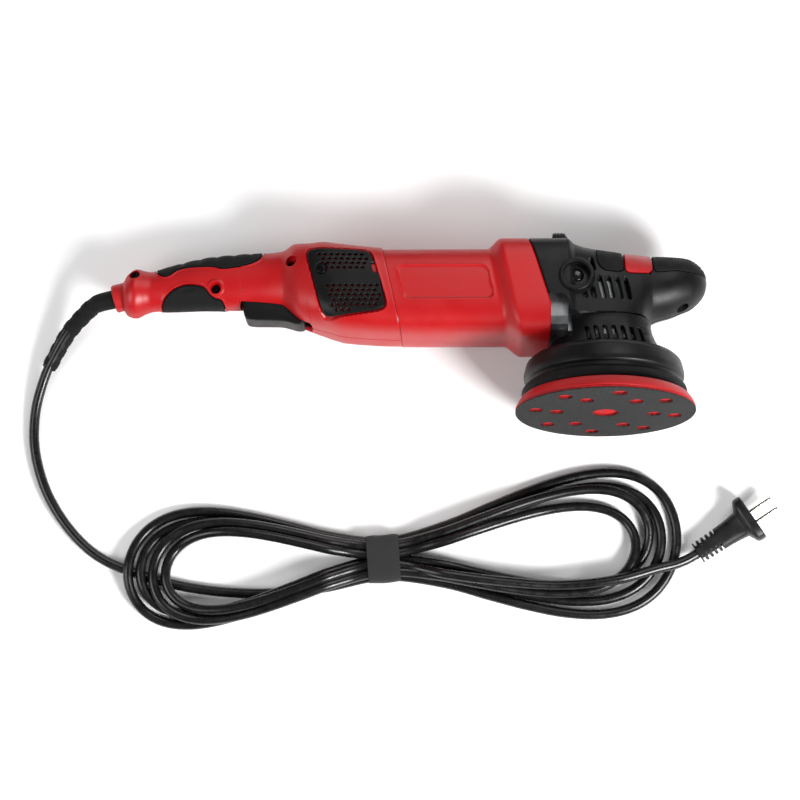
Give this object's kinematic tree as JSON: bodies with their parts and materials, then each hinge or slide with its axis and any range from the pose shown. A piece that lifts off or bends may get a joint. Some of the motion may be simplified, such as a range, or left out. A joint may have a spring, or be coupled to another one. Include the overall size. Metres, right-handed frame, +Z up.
{
  "type": "dual action polisher",
  "caption": "Corded random-orbit polisher with a pistol-free inline handle, bevel-gear head, offset orbiting pad, trigger and a tied mains cord with a two-pin plug.",
  "frame": {"origin": "bottom centre of the box of the tool without its cord, on the bench it lies on", "axes": "+X towards the front grip, +Y towards the top of the tool, +Z up from the bench; the tool lies on its left side"},
  "size_m": [0.5413, 0.2874, 0.1296],
  "materials": {
    "red_abs": "satin moulded red ABS",
    "black_nylon": "fine-grained black glass-filled nylon",
    "grip_rubber": "matte overmoulded grip rubber",
    "cast_aluminium": "fine cast and machined aluminium",
    "steel": "machined steel",
    "laminations": "stacked electrical steel",
    "copper": "varnished copper",
    "carbon": "pressed carbon",
    "board": "green circuit board with potted parts",
    "hook_fabric": "black hook-and-loop disc",
    "cord_sheath": "glossy black cord sheath",
    "tie_fabric": "matte black hook-and-loop tape"
  },
  "bodies": {
    "tool": {"handle_shell_right": "red_abs", "upper_grip_right": "grip_rubber", "lower_grip_right": "grip_rubber", "vent_cover_right": "black_nylon", "vent_screw_right": "steel", "front_cover_right": "black_nylon", "side_handle_plug_right": "black_nylon", "nose_screw_right": "steel", "handle_shell_left": "red_abs", "upper_grip_left": "grip_rubber", "lower_grip_left": "grip_rubber", "vent_cover_left": "black_nylon", "vent_screw_left": "steel", "front_cover_left": "black_nylon", "side_handle_plug_left": "black_nylon", "nose_screw_left": "steel", "handle_screw_rear": "steel", "handle_screw_middle": "steel", "handle_screw_front": "steel", "switch_module": "black_nylon", "speed_control_board": "board", "cord_clamp": "steel", "motor_housing": "red_abs", "stator_core": "laminations", "field_winding": "copper", "carbon_brush_upper": "carbon", "carbon_brush_lower": "carbon", "armature_bearing_rear": "steel", "armature_bearing_front": "steel", "gearbox_housing": "cast_aluminium", "spindle_bearing_upper": "steel", "spindle_bearing_lower": "steel", "front_grip_pad_rear": "grip_rubber", "front_grip_inlay": "red_abs", "front_grip_pad_front": "grip_rubber", "shroud": "black_nylon", "rubber_skirt": "grip_rubber", "strain_relief": "grip_rubber", "cord_hank": "cord_sheath", "cord_tie": "tie_fabric", "mains_cord": "cord_sheath", "cord_tail": "cord_sheath", "plug_body": "black_nylon", "plug_pin_a": "steel", "plug_pin_b": "steel"},
    "armature": {"armature_shaft": "steel", "armature_core": "laminations", "commutator": "copper", "cooling_fan": "black_nylon", "bevel_pinion": "steel"},
    "spindle": {"spindle_shaft": "steel", "bevel_gear": "steel", "counterweight": "steel", "orbit_bearing": "steel"},
    "pad": {"pad_spindle": "steel", "backing_plate": "red_abs", "hook_disc": "hook_fabric", "pad_bolt": "steel"},
    "trigger": {"trigger": "black_nylon"},
    "speed_dial": {"speed_dial": "black_nylon"}
  },
  "joints": [
    {"name": "spindle_spin", "type": "hinge", "parent": "tool", "child": "spindle", "pos_m": [0.13805, 0.0252, 0.04274], "axis": [0.007, 0.977, -0.2129], "continuous": true},
    {"name": "armature_spin", "type": "hinge", "parent": "tool", "child": "armature", "pos_m": [0.0381, 0.0252, 0.03944], "axis": [0.9995, 0, 0.033], "continuous": true},
    {"name": "pad_spin", "type": "hinge", "parent": "spindle", "child": "pad", "pos_m": [0.13732, -0.0416, 0.06497], "axis": [0.007, 0.977, -0.2129], "continuous": true},
    {"name": "trigger_squeeze", "type": "hinge", "parent": "tool", "child": "trigger", "pos_m": [-0.07789, 0.01738, 0.03732], "axis": [0.0322, -0.213, -0.9765], "range_deg": [0, 7], "stiffness_Nm_per_rad": 1.2, "springref_deg": -6.88},
    {"name": "speed_dial_turn", "type": "hinge", "parent": "tool", "child": "speed_dial", "pos_m": [-0.0642, 0.0484, 0.01667], "axis": [-0.0322, 0.213, 0.9765], "range_deg": [0, 270]}
  ],
  "couplings": [
    {"joint": "armature_spin", "follows": "spindle_spin", "ratio": -3}
  ]
}
